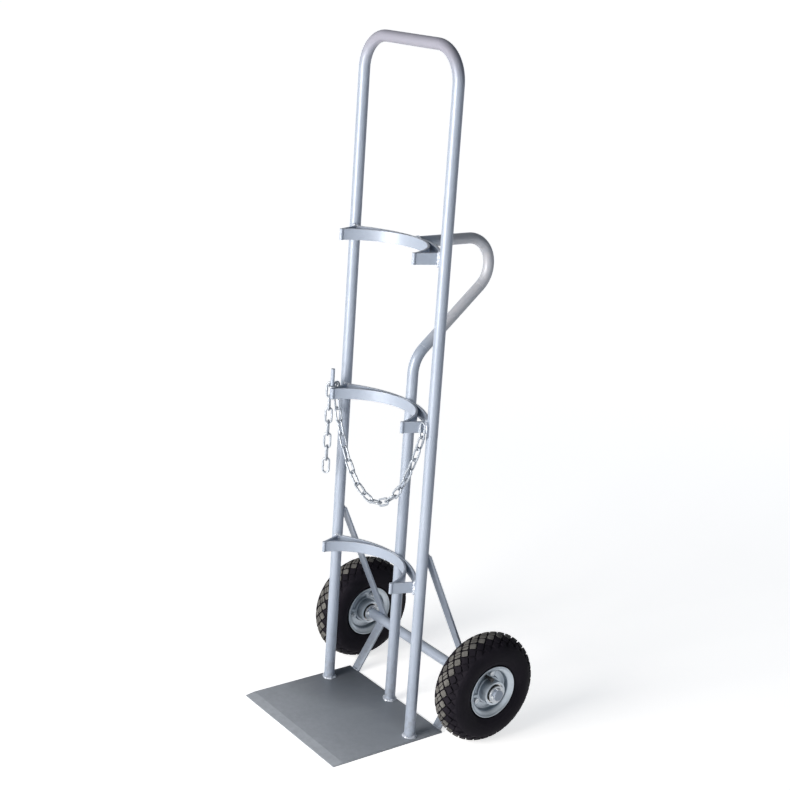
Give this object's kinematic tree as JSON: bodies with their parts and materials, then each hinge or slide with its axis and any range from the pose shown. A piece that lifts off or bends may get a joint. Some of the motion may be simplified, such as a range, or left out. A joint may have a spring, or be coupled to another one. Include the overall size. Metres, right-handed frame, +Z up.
{
  "type": "gas cylinder trolley",
  "caption": "Upright steel trolley for a gas cylinder: toe plate, bent tube frame with curved cradles, rear handle, safety chain and pneumatic wheels on a fixed axle.",
  "frame": {"origin": "on the floor, on the plate's underside, midway between the two uprights", "axes": "+Z up along the uprights, +X along the axle, the toe plate points to -Y"},
  "size_m": [0.596, 0.4981, 1.5629],
  "materials": {
    "frame_paint": "satin silver-grey paint",
    "plate_paint": "matt grey paint, scuffed",
    "zinc_plate": "zinc plated",
    "chain_zinc": "zinc plated wire",
    "bearing_steel": "ground steel",
    "tyre_rubber": "black rubber, block tread",
    "tube_rubber": "smooth black rubber",
    "cap_plastic": "black"
  },
  "bodies": {
    "frame": {"base_plate": "plate_paint", "front_frame": "frame_paint", "spine_tube": "frame_paint", "handle_slope": "frame_paint", "handle_grip": "frame_paint", "top_cradle": "frame_paint", "middle_cradle": "frame_paint", "bottom_cradle": "frame_paint", "top_backing": "frame_paint", "middle_backing": "frame_paint", "bottom_backing": "frame_paint", "axle": "frame_paint", "upper_brace_left": "frame_paint", "upper_brace_right": "frame_paint", "lower_brace_left": "frame_paint", "lower_brace_right": "frame_paint", "hook_pin": "frame_paint", "inner_washers": "zinc_plate", "outer_washers": "zinc_plate", "bearing_inner_rings": "bearing_steel", "chain_anchor_link": "chain_zinc", "chain_hooked_links": "chain_zinc"},
    "chain_strand": {"chain_strand": "chain_zinc"},
    "chain_tail": {"chain_tail": "chain_zinc"},
    "wheel_left": {"tyre_left": "tyre_rubber", "inner_tube_left": "tube_rubber", "rim_outer_left": "zinc_plate", "rim_inner_left": "zinc_plate", "hub_left": "zinc_plate", "bearing_outer_rings_left": "bearing_steel", "bearing_balls_left": "bearing_steel", "bearing_seals_left": "tube_rubber", "rim_bolts_left": "zinc_plate", "rim_nuts_left": "zinc_plate", "valve_stem_left": "tube_rubber", "valve_cap_left": "cap_plastic"},
    "wheel_right": {"tyre_right": "tyre_rubber", "inner_tube_right": "tube_rubber", "rim_outer_right": "zinc_plate", "rim_inner_right": "zinc_plate", "hub_right": "zinc_plate", "bearing_outer_rings_right": "bearing_steel", "bearing_balls_right": "bearing_steel", "bearing_seals_right": "tube_rubber", "rim_bolts_right": "zinc_plate", "rim_nuts_right": "zinc_plate", "valve_stem_right": "tube_rubber", "valve_cap_right": "cap_plastic"}
  },
  "joints": [
    {"name": "wheel_left_spin", "type": "hinge", "parent": "frame", "child": "wheel_left", "pos_m": [-0.243, 0.143, 0.13], "axis": [1, 0, 0], "continuous": true},
    {"name": "wheel_right_spin", "type": "hinge", "parent": "frame", "child": "wheel_right", "pos_m": [0.243, 0.143, 0.13], "axis": [1, 0, 0], "continuous": true},
    {"name": "chain_strand_swing", "type": "hinge", "parent": "frame", "child": "chain_strand", "pos_m": [-0.15686, -0.03246, 0.73905], "axis": [0.9986, 0.0308, -0.0436], "range_deg": [-6, 12]},
    {"name": "chain_tail_swing", "type": "hinge", "parent": "frame", "child": "chain_tail", "pos_m": [-0.15707, -0.04979, 0.7318], "axis": [-0.7099, -0.7043, 0], "range_deg": [-10, 40]}
  ]
}
